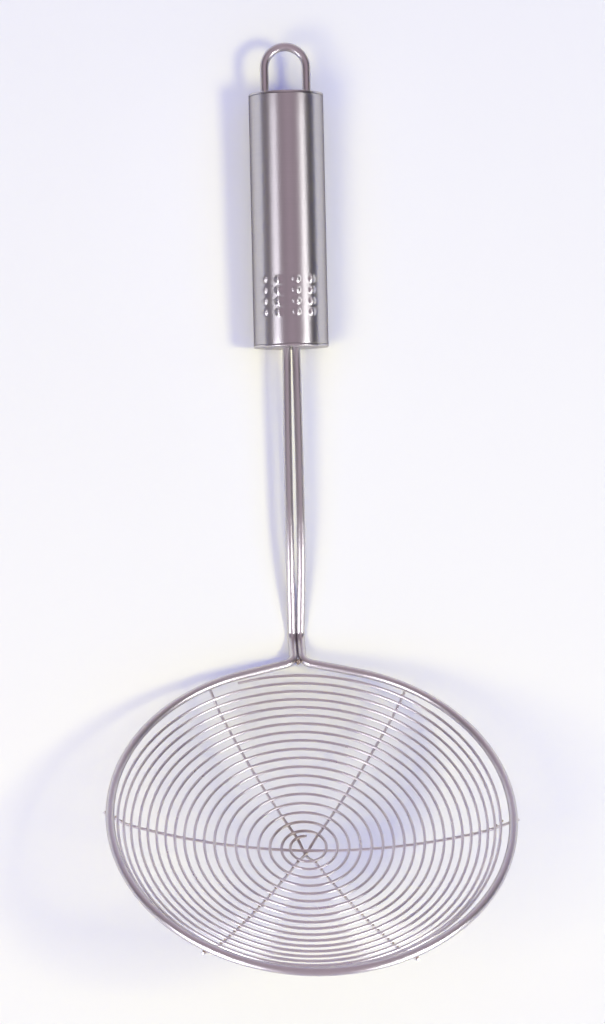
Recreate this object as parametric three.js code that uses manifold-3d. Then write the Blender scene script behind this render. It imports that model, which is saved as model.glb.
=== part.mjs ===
// A wire spider skimmer, lying on a table as it rests by itself. One thick wire makes the round rim, the
// neck and the two-leg shank, which dips to its foot in a gentle arch. A spiral of thin wire forms the dish
// and lies on three cross wires, which run under the rim. The handle is a steel tube with a cap at each end
// and a hanging loop.
// Millimetres, +Z up, the bowl towards -Y and the hanging loop towards +Y.

import * as THREE from 'three';
import { mergeVertices } from 'three/addons/utils/BufferGeometryUtils.js';
import Module from 'manifold-3d';

const DEG = Math.PI / 180;

// Clearance between pieces that are welded, pressed or laid together
const FIT = 0.3;

// Rim, neck and shank
const FRAME_WIRE = 3;
const RIM_DIAMETER = 140;
const RIM_DROOP = 17 * DEG;
const NECK_BEND = 4.3;
const NECK_LENGTH = 12.3;
const WELD_WIDTH = 1;
const WELD_LENGTH = 1.4;
const WELD_DEPTH = 2.2;
const SHANK_ANGLE = 46 * DEG;
const SHANK_BEND = 4;
const SHANK_LENGTH = 103;
const SHANK_ARCH = 14 * DEG;
const ARCH_RADIUS = 110;
const ARCH_FOOT = 21;
const LEG_SPREAD = 0.1;
const LEG_BOW = 0.42;
const LEG_TAIL = 12;

// Dish of the mesh, with the depth measured from the middle of the rim wire
const MESH_WIRE = 1;
const BOWL_DEPTH = 18.2;
const CORNER_RADIUS = 13;
const LIP_SLOPE = 60 * DEG;
const LIP_DROP = 1.3;
const LIP_GAP = 0.5;
const MESH_SHIFT = -1.2;
const MESH_TURN = -3.4 * DEG;

// Spiral: its eye is opened out to a ring, and its turns lie closer together towards the rim
const SPIRAL_TURNS = 19.06;
const SPIRAL_ROOT = 3.3;
const EYE_RADIUS = 5.4;
const EYE_BLEND = 6;
const PITCH_TAPER = 0.65;

// Cross wires: each lower one ducks under the others at the hub
const CROSS_WIRES = 3;
const CROSS_STUB = 0.6;
const HUB_REACH = 7;

// Handle tube and its caps
const TUBE_DIAMETER = 26.5;
const TUBE_WALL = 1;
const HANDLE_LENGTH = 90;
const CAP_FLANGE = 0.8;
const CAP_EDGE = 0.25;
const CAP_SPIGOT = 5;

// Grip bumps pressed out of the tube
const BUMP_ROWS = 4;
const BUMP_COLUMNS = 4;
const BUMP_DIAMETER = 3.4;
const BUMP_HEIGHT = 0.5;
const BUMP_ROW_PITCH = 3.85;
const BUMP_COLUMN_ANGLE = 26.5 * DEG;
const BUMP_FIRST_ROW = 12;
const BUMP_TURN = -8 * DEG;

// Hanging loop
const LOOP_WIRE = 3.1;
const LOOP_WIDTH = 18;
const LOOP_HEIGHT = 18.4;
const LOOP_TAIL = 9;

// Facets
const THICK_SIDES = 12;
const THIN_SIDES = 6;
const STEPS_PER_TURN = 24;
const RIM_STEPS = 33;
const BEND_STEPS = 5;
const BOW_STEPS = 5;
const TUBE_SIDES = 48;
const HOLE_SIDES = 16;
const BUMP_SIDES = 10;
const BUMP_RINGS = 3;

// Sizes that follow from the driving dimensions
const rimRadius = (RIM_DIAMETER - FRAME_WIRE) / 2;
const neckOffset = (FRAME_WIRE + FIT) / 2;
const legOffset = neckOffset + LEG_SPREAD;
const meshStep = MESH_WIRE + FIT;
const underRim = (FRAME_WIRE + MESH_WIRE) / 2 + FIT;
const archStart = ARCH_FOOT * Math.cos(SHANK_ARCH);
const archEnd = archStart + ARCH_RADIUS * Math.sin(SHANK_ARCH);
const archRise = ARCH_FOOT * Math.sin(SHANK_ARCH) + ARCH_RADIUS * (1 - Math.cos(SHANK_ARCH));
const tubeRadius = TUBE_DIAMETER / 2;
const capDepth = CAP_FLANGE + CAP_SPIGOT;
const spigotRadius = tubeRadius - TUBE_WALL - FIT;
const tubeStart = SHANK_LENGTH + CAP_FLANGE + FIT;
const tubeEnd = SHANK_LENGTH + HANDLE_LENGTH - CAP_FLANGE - FIT;

const wasm = await Module();
wasm.setup();

const WIRE_STEEL = { color: 0xb4adb1, metalness: 1, roughness: 0.18 };
const MESH_STEEL = { color: 0x9a9399, metalness: 1, roughness: 0.28 };
const TUBE_STEEL = { color: 0xa89ea3, metalness: 1, roughness: 0.32 };
const CAP_STEEL = { color: 0xb0a8ad, metalness: 1, roughness: 0.38 };
const WELD_STEEL = { color: 0x8d8078, metalness: 1, roughness: 0.5 };

function piece(name, geometry, finish) {
  const mesh = new THREE.Mesh(geometry, new THREE.MeshStandardMaterial(finish));
  mesh.name = name;
  return mesh;
}

function place(y, z) {
  return new THREE.Vector3(0, y, z);
}

// A path that is only ever asked for its own stations, so that steps gather where the wire bends
class StationPath extends THREE.Curve {
  constructor(stations) {
    super();
    this.stations = stations;
  }

  getPointAt(u) {
    return this.stations[Math.round(u * (this.stations.length - 1))].clone();
  }

  getTangentAt(u) {
    const last = this.stations.length - 1;
    const index = Math.round(u * last);
    const here = this.stations[index];
    const before = here.clone().sub(this.stations[Math.max(index - 1, 0)]).normalize();
    const after = this.stations[Math.min(index + 1, last)].clone().sub(here).normalize();
    return before.add(after).normalize();
  }
}

function wire(stations, diameter, sides) {
  const section = new THREE.Shape();
  for (let i = 0; i < sides; i += 1) {
    const angle = (2 * Math.PI * i) / sides;
    const x = (diameter / 2) * Math.cos(angle);
    const y = (diameter / 2) * Math.sin(angle);
    if (i === 0) section.moveTo(x, y);
    else section.lineTo(x, y);
  }
  section.closePath();
  const extrudePath = new StationPath(stations);
  return new THREE.ExtrudeGeometry(section, { steps: stations.length - 1, extrudePath });
}

// Stations of a round bend that replaces the corner between two straight runs
function bend(from, corner, to, radius) {
  const back = from.clone().sub(corner).normalize();
  const ahead = to.clone().sub(corner).normalize();
  const half = back.angleTo(ahead) / 2;
  const middle = back.clone().add(ahead).normalize();
  const centre = corner.clone().addScaledVector(middle, radius / Math.sin(half));
  const start = corner.clone().addScaledVector(back, radius / Math.tan(half)).sub(centre);
  const axis = back.clone().cross(ahead).normalize();
  const sweep = Math.PI - 2 * half;
  const stations = [];
  for (let i = 0; i <= BEND_STEPS; i += 1) {
    const turned = start.clone().applyAxisAngle(axis, (-sweep * i) / BEND_STEPS);
    stations.push(turned.add(centre));
  }
  return stations;
}

// Solids for joining and cutting
function solid(geometry) {
  const bare = geometry.clone();
  bare.deleteAttribute('normal');
  bare.deleteAttribute('uv');
  const merged = mergeVertices(bare);
  const vertProperties = new Float32Array(merged.attributes.position.array);
  const triVerts = new Uint32Array(merged.index.array);
  return new wasm.Manifold(new wasm.Mesh({ numProp: 3, vertProperties, triVerts }));
}

function geometryOf(body) {
  const mesh = body.getMesh();
  const geometry = new THREE.BufferGeometry();
  geometry.setAttribute('position', new THREE.BufferAttribute(mesh.vertProperties, 3));
  geometry.setIndex(new THREE.BufferAttribute(mesh.triVerts, 1));
  geometry.computeVertexNormals();
  return geometry;
}

// Frame wire. The rim is a circle that runs out straight on both sides of the neck.
const rimTangent = new THREE.Vector3(
  rimRadius * Math.sin(RIM_DROOP),
  rimRadius * Math.cos(RIM_DROOP),
  0,
);
const cornerY = rimTangent.y + (rimTangent.x - neckOffset) * Math.tan(RIM_DROOP);
const neckCorner = new THREE.Vector3(neckOffset, cornerY, 0);
const shankFoot = place(cornerY + NECK_LENGTH, 0);
const shankAxis = place(Math.cos(SHANK_ANGLE), Math.sin(SHANK_ANGLE));
const shankUp = place(-Math.sin(SHANK_ANGLE), Math.cos(SHANK_ANGLE));
const handleStart = shankFoot.clone().addScaledVector(shankUp, archRise);

// How far a leg lies under the handle's axis, at a distance along that axis from beside the foot
function legDrop(distance) {
  if (distance < archStart) return archRise - distance * Math.tan(SHANK_ARCH);
  const left = Math.max(archEnd - distance, 0);
  return ARCH_RADIUS - Math.sqrt(ARCH_RADIUS ** 2 - left ** 2);
}

function legStation(distance) {
  const along = Math.min(distance / SHANK_LENGTH, 1);
  const bow = LEG_BOW * Math.sin(Math.PI * along) ** 2;
  const station = handleStart.clone().addScaledVector(shankAxis, distance);
  station.addScaledVector(shankUp, -legDrop(distance));
  station.x = neckOffset + LEG_SPREAD * along + bow;
  return station;
}

function frameHalf() {
  const footCorner = new THREE.Vector3(neckOffset, shankFoot.y, 0);
  const stations = [legStation(SHANK_LENGTH + LEG_TAIL)];
  for (let i = BOW_STEPS; i >= 1; i -= 1) {
    stations.push(legStation(archEnd + ((SHANK_LENGTH - archEnd) * i) / BOW_STEPS));
  }
  for (let i = BEND_STEPS; i >= 0; i -= 1) {
    stations.push(legStation(archStart + ((archEnd - archStart) * i) / BEND_STEPS));
  }
  stations.push(...bend(legStation(archStart), footCorner, neckCorner, SHANK_BEND));
  stations.push(...bend(footCorner, neckCorner, rimTangent, NECK_BEND));
  for (let i = 0; i <= RIM_STEPS; i += 1) {
    const angle = Math.PI / 2 - RIM_DROOP - ((Math.PI - RIM_DROOP) * i) / RIM_STEPS;
    stations.push(new THREE.Vector3(rimRadius * Math.cos(angle), rimRadius * Math.sin(angle), 0));
  }
  return stations;
}

function frameWire() {
  const right = frameHalf();
  const left = right.slice(0, -1).reverse();
  const mirrored = left.map((station) => new THREE.Vector3(-station.x, station.y, station.z));
  return wire([...right, ...mirrored], FRAME_WIRE, THICK_SIDES);
}

// Weld bead in the fork where the two neck bends part
function neckWeld() {
  const bendCentre = neckOffset + NECK_BEND;
  const bendStart = cornerY + NECK_BEND * Math.tan((Math.PI / 2 - RIM_DROOP) / 2);
  const clear = NECK_BEND + FRAME_WIRE / 2 + FIT + WELD_WIDTH / 2;
  const bead = new THREE.SphereGeometry(0.5, THICK_SIDES, THIN_SIDES);
  bead.scale(WELD_WIDTH, WELD_LENGTH, WELD_DEPTH);
  bead.translate(0, bendStart - Math.sqrt(clear ** 2 - bendCentre ** 2), 0);
  return bead;
}

// Dish profile: a shallow floor arc that turns up into a tighter corner arc and ends beside the rim
const lipRadius = rimRadius - (FRAME_WIRE + MESH_WIRE) / 2 - LIP_GAP;
const cornerCentre = {
  radius: lipRadius - CORNER_RADIUS * Math.sin(LIP_SLOPE),
  height: CORNER_RADIUS * Math.cos(LIP_SLOPE) - LIP_DROP,
};
const cornerRise = cornerCentre.height + BOWL_DEPTH;
const floorRadius =
  (cornerCentre.radius ** 2 + cornerRise ** 2 - CORNER_RADIUS ** 2) / (2 * (cornerRise - CORNER_RADIUS));
const floorSlope = Math.atan2(cornerCentre.radius, floorRadius - cornerRise);
const floorLength = floorRadius * floorSlope;
const dishLength = floorLength + CORNER_RADIUS * (LIP_SLOPE - floorSlope);

function dishPoint(slope, below) {
  const onFloor = slope < floorSlope;
  const radius = (onFloor ? floorRadius : CORNER_RADIUS) + below;
  const middle = onFloor ? { radius: 0, height: floorRadius - BOWL_DEPTH } : cornerCentre;
  return {
    radius: middle.radius + radius * Math.sin(slope),
    height: middle.height - radius * Math.cos(slope),
  };
}

function slopeAlong(distance) {
  if (distance < floorLength) return distance / floorRadius;
  return floorSlope + (distance - floorLength) / CORNER_RADIUS;
}

function around(angle, point) {
  return new THREE.Vector3(point.radius * Math.cos(angle), point.radius * Math.sin(angle), point.height);
}

// Spiral: its even winding and its round eye are joined by a smooth maximum of the two
function spiralStations() {
  const firstPitch = (dishLength - SPIRAL_ROOT) / (SPIRAL_TURNS * (1 + PITCH_TAPER) / 2);
  const steps = Math.round(SPIRAL_TURNS * STEPS_PER_TURN);
  const stations = [];
  for (let i = 0; i <= steps; i += 1) {
    const turn = i / STEPS_PER_TURN;
    const tightened = turn - ((1 - PITCH_TAPER) * turn ** 2) / (2 * SPIRAL_TURNS);
    const winding = SPIRAL_ROOT + firstPitch * tightened;
    const distance = (winding ** EYE_BLEND + EYE_RADIUS ** EYE_BLEND) ** (1 / EYE_BLEND);
    const angle = Math.PI / 2 + 2 * Math.PI * turn;
    stations.push(around(angle, dishPoint(slopeAlong(distance), 0)));
  }
  return stations;
}

function leastGap(stations) {
  let least = Infinity;
  for (let i = 0; i < stations.length; i += 1) {
    for (let j = i + STEPS_PER_TURN / 2; j < stations.length; j += 1) {
      least = Math.min(least, stations[i].distanceTo(stations[j]));
    }
  }
  return least - MESH_WIRE;
}

// Cross wire: half of it, from the hub along the underside of the spiral and then straight under the rim
function crossHalf(angle, duck) {
  const heading = angle + MESH_TURN;
  const offCentre = MESH_SHIFT * Math.cos(heading);
  const reach = Math.sqrt(rimRadius ** 2 - MESH_SHIFT ** 2 + offCentre ** 2) - offCentre;
  const run = reach - cornerCentre.radius;
  const fall = -cornerCentre.height;
  const turnIn = Math.acos((CORNER_RADIUS + meshStep - underRim) / Math.hypot(run, fall));
  const leave = Math.PI / 2 + Math.atan2(fall, run) - turnIn;
  const points = [];
  for (let i = 0; i <= BEND_STEPS; i += 1) {
    const radius = (HUB_REACH * i) / BEND_STEPS;
    const point = dishPoint(Math.asin(radius / (floorRadius + meshStep)), meshStep);
    point.height -= (duck * (1 + Math.cos((Math.PI * i) / BEND_STEPS))) / 2;
    points.push(point);
  }
  const hubSlope = Math.asin(HUB_REACH / (floorRadius + meshStep));
  for (let i = 1; i <= STEPS_PER_TURN / 2; i += 1) {
    const slope = hubSlope + ((floorSlope - hubSlope) * i) / (STEPS_PER_TURN / 2);
    points.push(dishPoint(slope, meshStep));
  }
  for (let i = 1; i <= BEND_STEPS; i += 1) {
    points.push(dishPoint(floorSlope + ((leave - floorSlope) * i) / BEND_STEPS, meshStep));
  }
  const beyond = FRAME_WIRE / 2 + CROSS_STUB;
  points.push({
    radius: reach + beyond,
    height: (beyond * Math.sin(leave) - underRim) / Math.cos(leave),
  });
  return points.map((point) => around(angle, point));
}

function crossWire(index) {
  const angle = (Math.PI * index) / CROSS_WIRES;
  const duck = index * meshStep;
  const near = crossHalf(angle + Math.PI, duck).slice(1).reverse();
  return wire([...near, ...crossHalf(angle, duck)], MESH_WIRE, THIN_SIDES);
}

// Handle tube with its patch of grip bumps, along +Y from beside the foot of the shank
function gripBump() {
  const ball = ((BUMP_DIAMETER / 2) ** 2 + BUMP_HEIGHT ** 2) / (2 * BUMP_HEIGHT);
  const edge = Math.asin(BUMP_DIAMETER / 2 / ball);
  const sunk = -TUBE_WALL / 2;
  const profile = [new THREE.Vector2(0, sunk), new THREE.Vector2(BUMP_DIAMETER / 2, sunk)];
  for (let i = 0; i < BUMP_RINGS; i += 1) {
    const angle = edge * (1 - i / BUMP_RINGS);
    profile.push(new THREE.Vector2(ball * Math.sin(angle), BUMP_HEIGHT - ball * (1 - Math.cos(angle))));
  }
  profile.push(new THREE.Vector2(0, BUMP_HEIGHT));
  return new THREE.LatheGeometry(profile, BUMP_SIDES);
}

function handleTube() {
  const bore = tubeRadius - TUBE_WALL;
  const profile = [
    new THREE.Vector2(bore, tubeStart),
    new THREE.Vector2(tubeRadius, tubeStart),
    new THREE.Vector2(tubeRadius, tubeEnd),
    new THREE.Vector2(bore, tubeEnd),
    new THREE.Vector2(bore, tubeStart),
  ];
  let body = solid(new THREE.LatheGeometry(profile, TUBE_SIDES, Math.PI / TUBE_SIDES));
  for (let row = 0; row < BUMP_ROWS; row += 1) {
    for (let column = 0; column < BUMP_COLUMNS; column += 1) {
      const bump = gripBump();
      bump.rotateX(Math.PI / 2);
      bump.translate(0, SHANK_LENGTH + BUMP_FIRST_ROW + row * BUMP_ROW_PITCH, tubeRadius);
      bump.rotateY(BUMP_TURN + (column - (BUMP_COLUMNS - 1) / 2) * BUMP_COLUMN_ANGLE);
      body = body.add(solid(bump));
    }
  }
  return geometryOf(body);
}

// End caps: a flange as wide as the tube, with a bevelled edge, on a spigot that plugs the bore
function cap(cutters) {
  const profile = [
    new THREE.Vector2(0, 0),
    new THREE.Vector2(tubeRadius - CAP_EDGE, 0),
    new THREE.Vector2(tubeRadius, CAP_EDGE),
    new THREE.Vector2(tubeRadius, CAP_FLANGE),
    new THREE.Vector2(spigotRadius, CAP_FLANGE),
    new THREE.Vector2(spigotRadius, capDepth),
    new THREE.Vector2(0, capDepth),
  ];
  let body = solid(new THREE.LatheGeometry(profile, TUBE_SIDES, Math.PI / TUBE_SIDES));
  for (const cutter of cutters) body = body.subtract(solid(cutter));
  return geometryOf(body);
}

function lowerCap() {
  const slot = new THREE.Shape();
  const radius = FRAME_WIRE / 2 + FIT;
  slot.absarc(legOffset, 0, radius, -Math.PI / 2, Math.PI / 2);
  slot.absarc(-legOffset, 0, radius, Math.PI / 2, 1.5 * Math.PI);
  const depth = 2 * capDepth;
  const cutter = new THREE.ExtrudeGeometry(slot, { depth, bevelEnabled: false, curveSegments: HOLE_SIDES / 4 });
  cutter.rotateX(Math.PI / 2);
  cutter.translate(0, (capDepth + depth) / 2, 0);
  return cap([cutter]);
}

function upperCap() {
  const cutters = [-1, 1].map((side) => {
    const hole = LOOP_WIRE / 2 + FIT;
    const cutter = new THREE.CylinderGeometry(hole, hole, 2 * capDepth, HOLE_SIDES);
    cutter.translate((side * (LOOP_WIDTH - LOOP_WIRE)) / 2, capDepth / 2, 0);
    return cutter;
  });
  return cap(cutters);
}

// Hanging loop: a round-topped U whose ends stand in the upper cap
function hangingLoop() {
  const radius = (LOOP_WIDTH - LOOP_WIRE) / 2;
  const capFace = SHANK_LENGTH + HANDLE_LENGTH;
  const springing = capFace + LOOP_HEIGHT - LOOP_WIDTH / 2;
  const stations = [new THREE.Vector3(radius, capFace - LOOP_TAIL, 0)];
  for (let i = 0; i <= STEPS_PER_TURN / 2; i += 1) {
    const angle = (2 * Math.PI * i) / STEPS_PER_TURN;
    stations.push(new THREE.Vector3(radius * Math.cos(angle), springing + radius * Math.sin(angle), 0));
  }
  stations.push(new THREE.Vector3(-radius, capFace - LOOP_TAIL, 0));
  return wire(stations, LOOP_WIRE, THICK_SIDES);
}

// Assembly in the frame of the rim, with the mesh and the handle in groups of their own
const spiral = spiralStations();
console.log(`Spiral wire: least gap to itself ${leastGap(spiral).toFixed(2)} mm`);

const mesh = new THREE.Group();
mesh.position.x = MESH_SHIFT;
mesh.rotation.z = MESH_TURN;
mesh.add(piece('spiral_wire', wire(spiral, MESH_WIRE, THIN_SIDES), MESH_STEEL));
for (let index = 0; index < CROSS_WIRES; index += 1) {
  mesh.add(piece(`cross_wire_${index + 1}`, crossWire(index), MESH_STEEL));
}

const handle = new THREE.Group();
handle.position.copy(handleStart);
handle.rotation.x = SHANK_ANGLE;
const lowerEnd = piece('lower_end_cap', lowerCap(), CAP_STEEL);
lowerEnd.position.y = SHANK_LENGTH;
const upperEnd = piece('upper_end_cap', upperCap(), CAP_STEEL);
upperEnd.position.y = SHANK_LENGTH + HANDLE_LENGTH;
upperEnd.rotation.z = Math.PI;
handle.add(piece('handle_tube', handleTube(), TUBE_STEEL), lowerEnd, upperEnd);
handle.add(piece('hanging_loop', hangingLoop(), WIRE_STEEL));

const skimmer = new THREE.Group();
skimmer.add(piece('frame_wire', frameWire(), WIRE_STEEL), piece('neck_weld', neckWeld(), WELD_STEEL));
skimmer.add(mesh, handle);

// Rest: the bend at the foot of the shank and the near edge of the handle both touch the table
const bendHalf = (Math.PI - SHANK_ANGLE - SHANK_ARCH) / 2;
const bendAway = SHANK_BEND / Math.sin(bendHalf);
const edgeAlong = SHANK_LENGTH + CAP_EDGE - bendAway * Math.cos(bendHalf + SHANK_ARCH);
const edgeBelow = tubeRadius - archRise + bendAway * Math.sin(bendHalf + SHANK_ARCH);
const bendOuter = SHANK_BEND + FRAME_WIRE / 2;
const edgeSlope = Math.atan2(edgeBelow, edgeAlong);
const restTilt = edgeSlope - Math.asin(bendOuter / Math.hypot(edgeAlong, edgeBelow));
skimmer.rotation.x = restTilt - SHANK_ANGLE;

const box = new THREE.Box3().setFromObject(skimmer, true);
const middle = box.getCenter(new THREE.Vector3());
skimmer.position.set(-middle.x, -middle.y, -box.min.z);

export default skimmer;
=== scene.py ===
import math

import bmesh
import bpy
from mathutils import Euler, Matrix, Vector, noise


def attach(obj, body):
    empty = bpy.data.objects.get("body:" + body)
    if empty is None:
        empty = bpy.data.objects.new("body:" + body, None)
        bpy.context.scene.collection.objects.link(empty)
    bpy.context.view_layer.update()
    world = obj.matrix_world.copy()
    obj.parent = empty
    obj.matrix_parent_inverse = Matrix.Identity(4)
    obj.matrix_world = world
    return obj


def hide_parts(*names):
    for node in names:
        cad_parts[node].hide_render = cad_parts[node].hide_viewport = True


bl_info = {
    "name": "Wire Spider Skimmer",
    "version": (1, 0, 0),
    "blender": (4, 5, 0),
    "location": "3D View > Sidebar > Skimmer",
    "description": "Builds a steel wire skimmer with a spiral mesh dish, a doubled shank and a tube handle",
    "category": "Object",
}

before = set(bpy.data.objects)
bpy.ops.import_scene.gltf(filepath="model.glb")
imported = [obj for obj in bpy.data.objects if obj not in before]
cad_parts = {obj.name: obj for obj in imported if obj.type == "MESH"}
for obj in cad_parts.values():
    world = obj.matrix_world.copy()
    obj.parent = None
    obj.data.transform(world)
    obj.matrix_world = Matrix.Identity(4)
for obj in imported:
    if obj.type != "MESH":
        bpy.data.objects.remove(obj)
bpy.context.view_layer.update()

MM = 0.001
DEG = math.pi / 180
STEEL_BODY = "root"

# Welded pieces stand this far apart, a tube from its caps and a wire from the hole that it stands in
FIT = 0.3 * MM
CAP_SEAM = 0.12 * MM
HOLE_ROOM = 0.1 * MM

# The legs of the shank touch at the neck, where the solids keep them apart
NECK_GAP = 0.04 * MM

# Below 1, the legs bow out most on the half of the shank by the bowl
BOW_SKEW = 0.75

# How sharply the spiral leaves the ring of its eye
EYE_BLEND = 6

# Counts that the photo shows
CROSS_WIRES = 3
BUMP_ROWS = 4
BUMP_COLUMNS = 4

# Cut ends of a wire: places along the end and widths there, as parts of the wire's radius
END_PLACES = (0, 0.14, 0.4, 0.8)
END_WIDTHS = (0.62, 0.87, 0.97, 1.0)

# Half of each weld's width, length and height, and where the solid bead sits
NECK_BEAD = (0.85 * MM, 0.8 * MM, 1.15 * MM)
BEAD_SEAT = 0.5 * MM
MESH_SPOT = (0.46 * MM, 0.46 * MM, 0.36 * MM)
RIM_SPOT = (0.75 * MM, 0.75 * MM, 0.5 * MM)

# A bump's flank falls off faster with a greater power, and the tube's ends are eased
BUMP_FALL = 1.4
TUBE_EDGE = 0.18 * MM

# Tint of a mirror image at a grazing view, darker on the satin tube
STEEL_EDGE = (0.55, 0.53, 0.54, 1.0)
SATIN_EDGE = (0.36, 0.34, 0.36, 1.0)

# Fineness of the round wires and of the turned pieces
THICK_SIDES = 24
THIN_SIDES = 12
SPIRAL_STEPS = 96
RIM_STEPS = 120
BEND_STEPS = 16
CAP_SIDES = 96
HOLE_SIDES = 48
LEG_STEP = 2 * MM
TUBE_SIDES = 256
TUBE_STEPS = 8
BUMP_STEP = 0.28 * MM
SHARP_ANGLE = 38 * DEG
NEAR = 0.01 * MM

# Length along the handle that fills the UV map once
UV_LENGTH = 100 * MM

# The table reaches out of sight, in metres, and lies just under the skimmer
TABLE_RADIUS = 30
TABLE_SINK = 0.02 * MM


def linear(hex_colour):
    """Linear colour of an sRGB hex value, with alpha."""
    parts = [int(hex_colour[i:i + 2], 16) / 255 for i in (1, 3, 5)]
    return tuple(p / 12.92 if p <= 0.04045 else ((p + 0.055) / 1.055) ** 2.4 for p in parts) + (1.0,)


def length(name, description, millimetres):
    """A size that is given in millimetres."""
    return bpy.props.FloatProperty(
        name=name, description=description, default=millimetres * MM, precision=5, unit="LENGTH"
    )


def angle(name, description, degrees):
    """An angle that is given in degrees."""
    return bpy.props.FloatProperty(
        name=name, description=description, default=degrees * DEG, precision=4, unit="ROTATION"
    )


def colour(name, description, hex_colour):
    """A colour that is given as an sRGB hex value."""
    return bpy.props.FloatVectorProperty(
        name=name, description=description, default=linear(hex_colour), size=4, subtype="COLOR", min=0, max=1
    )


class SkimmerFrameSizes(bpy.types.PropertyGroup):
    """The thick wire that makes the rim, the neck and the shank"""

    wire: length("Wire", "Thickness of the frame wire", 3)
    rim_diameter: length("Rim", "Rim across its outside", 140)
    rim_droop: angle("Rim droop", "Arc on each side of the neck where the rim runs straight", 17)
    neck_bend: length("Neck bend", "Bend radius where the rim turns into the neck", 4.3)
    neck_length: length("Neck", "From the neck's corner to the foot of the shank", 12.3)
    shank_angle: angle("Shank angle", "Rise of the handle from the plane of the rim", 46)
    shank_bend: length("Shank bend", "Bend radius at the foot of the shank", 4)
    shank_length: length("Shank", "From beside the foot to the handle", 103)
    shank_arch: angle("Shank arch", "How much steeper the shank leaves its foot", 14)
    arch_radius: length("Arch radius", "Radius of the shank's gentle arch", 110)
    arch_foot: length("Arch foot", "Straight run from the foot to the arch", 21)
    leg_spread: length("Leg spread", "How far each leg moves out on its way to the handle", 0.1)
    leg_bow: length("Leg bow", "How far each leg bows out in mid shank", 0.42)
    leg_tail: length("Leg tail", "Leg inside the handle", 12)
    rim_centre: bpy.props.FloatVectorProperty(
        name="Rim centre",
        description="Middle of the rim when the skimmer lies on the table",
        default=(0.0332 * MM, -110.122 * MM, 58.7901 * MM),
        precision=6,
        subtype="TRANSLATION",
        unit="LENGTH",
    )
    rim_tilt: angle("Rim tilt", "Tilt of the rim when the skimmer lies on the table", -43.844548)


class SkimmerMeshSizes(bpy.types.PropertyGroup):
    """The spiral dish and the wires under it"""

    wire: length("Wire", "Thickness of the mesh wire", 1)
    depth: length("Depth", "Depth of the dish under the middle of the rim wire", 18.2)
    corner_radius: length("Corner radius", "Radius at which the dish turns up to the rim", 13)
    lip_slope: angle("Lip slope", "Slope of the dish where it meets the rim", 60)
    lip_drop: length("Lip drop", "Last turn under the middle of the rim wire", 1.3)
    lip_gap: length("Lip gap", "Gap between the last turn and the rim", 0.5)
    shift: length("Shift", "Mesh off the middle of the rim", -1.2)
    turn: angle("Turn", "Mesh turned in the rim", -3.4)
    turns: bpy.props.FloatProperty(
        name="Turns", description="Turns of the spiral", default=19.06, min=1, precision=3
    )
    root: length("Root", "Distance from the middle at which the winding starts", 3.3)
    eye: length("Eye", "Radius of the ring-like eye", 5.4)
    taper: bpy.props.FloatProperty(
        name="Pitch taper",
        description="Last pitch of the spiral as a part of its first",
        default=0.65,
        min=0.1,
        max=1,
        subtype="FACTOR",
    )
    stub: length("Stub", "Cross wire that shows outside the rim", 0.6)
    hub_reach: length("Hub reach", "Length over which a cross wire ducks at the hub", 7)


class SkimmerHandleSizes(bpy.types.PropertyGroup):
    """The handle tube, its caps, its grip bumps and the hanging loop"""

    diameter: length("Tube", "Outside of the tube", 26.5)
    wall: length("Wall", "Wall of the tube", 1)
    length: length("Handle", "Handle over both caps", 90)
    flange: length("Flange", "Thickness of a cap's flange", 0.8)
    edge: length("Edge", "Rounding of a cap's edge", 0.25)
    spigot: length("Spigot", "Part of a cap inside the tube", 5)
    bump_diameter: length("Bump", "A grip bump across", 3.4)
    bump_height: length("Bump height", "A grip bump's height", 0.5)
    bump_pitch: length("Row pitch", "Rows of bumps apart", 3.85)
    bump_first: length("First row", "Lower cap's face to the first row", 12)
    bump_angle: angle("Column angle", "Columns of bumps apart", 26.5)
    bump_turn: angle("Patch turn", "Bump patch turned on the tube", -8)
    loop_wire: length("Loop wire", "Thickness of the loop", 3.1)
    loop_width: length("Loop width", "Loop across its outside", 18)
    loop_height: length("Loop height", "Loop above the cap", 18.4)
    loop_tail: length("Loop tail", "Loop inside the handle", 9)


class SkimmerFinishes(bpy.types.PropertyGroup):
    """Colours of the steel and of the table"""

    frame_wire: colour("Frame wire", "Polished stainless wire", "#e0dcde")
    mesh_wire: colour("Mesh wire", "Drawn stainless wire", "#f4f1f3")
    # Brown tint painted on the mesh wire to one side of the hub
    hub_brown_tint: colour("Heat tint", "Straw tint that welding leaves at the hub", "#8f7258")
    tube: colour("Tube", "Satin stainless tube", "#d8d5d6")
    cap: colour("Caps", "Satin stainless discs", "#dad7d8")
    weld: colour("Weld", "Weld metal", "#d3c8be")
    weld_tint: colour("Weld tint", "Heat tint beside a weld", "#7d6450")
    table: colour("Table", "Matte white table top", "#f4f4f7")


class SkimmerStageSettings(bpy.types.PropertyGroup):
    """Camera and lights"""

    lens: bpy.props.FloatProperty(
        name="Lens", description="Focal length on a frame 36 mm high", default=119.53, subtype="DISTANCE_CAMERA"
    )
    camera_place: bpy.props.FloatVectorProperty(
        name="Camera", description="Place of the camera", default=(-0.08264, -0.05891, 1.21340),
        precision=5, subtype="TRANSLATION", unit="LENGTH",
    )
    camera_turn: bpy.props.FloatVectorProperty(
        name="Camera turn", description="Turn of the camera",
        default=(2.6271 * DEG, -3.9972 * DEG, -1.4201 * DEG), precision=5, subtype="EULER", unit="ROTATION",
    )
    key_power: bpy.props.FloatProperty(
        name="Key lamps", description="Power of each lamp that casts a shadow", default=5.05, min=0, subtype="POWER"
    )
    fill_power: bpy.props.FloatProperty(
        name="Fill", description="Power of the overhead fill", default=66.0, min=0, subtype="POWER"
    )
    soft_power: bpy.props.FloatProperty(
        name="Softboxes", description="Power of each long softbox", default=5.0, min=0, subtype="POWER"
    )


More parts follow.
